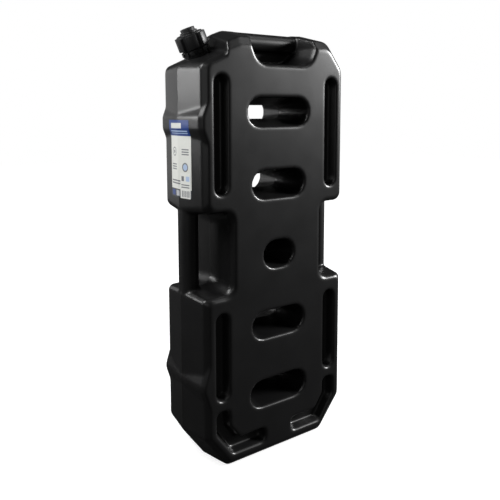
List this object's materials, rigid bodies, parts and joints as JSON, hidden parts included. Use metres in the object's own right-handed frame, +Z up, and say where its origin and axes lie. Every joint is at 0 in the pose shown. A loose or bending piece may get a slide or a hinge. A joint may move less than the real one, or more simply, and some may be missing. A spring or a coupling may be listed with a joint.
{
  "type": "fuel canister",
  "caption": "Slim black slab-shaped fuel canister with rounded through slots, side and top grips, stiffening grooves and a lobed screw cap on a tilted neck.",
  "frame": {"origin": "middle of the flat base, at mid depth", "axes": "+X across the wide face, away from the neck; +Y from the front face to the rear face; +Z up"},
  "size_m": [0.3626, 0.15, 0.832],
  "materials": {
    "can_plastic": "fine moulded grain",
    "collar_plastic": "satin",
    "cap_plastic": "satin",
    "gasket_rubber": "matte",
    "label_film": "printed film",
    "small_label_film": "printed film"
  },
  "bodies": {
    "can": {"body": "can_plastic", "neck_collar": "collar_plastic", "main_label": "label_film", "small_label": "small_label_film"},
    "seal": {"cap_gasket": "gasket_rubber"},
    "lid": {"cap": "cap_plastic"}
  },
  "joints": [
    {"name": "cap_lift", "type": "slide", "parent": "can", "child": "seal", "axis": [-0.4067, 0, 0.9135], "range_m": [0, 0.015]},
    {"name": "cap_turn", "type": "hinge", "parent": "seal", "child": "lid", "pos_m": [-0.1375, 0, 0.77992], "axis": [-0.4067, 0, 0.9135], "range_deg": [0, 1081]}
  ],
  "couplings": [
    {"joint": "cap_turn", "follows": "cap_lift", "rad_per_m": 1256.6}
  ]
}
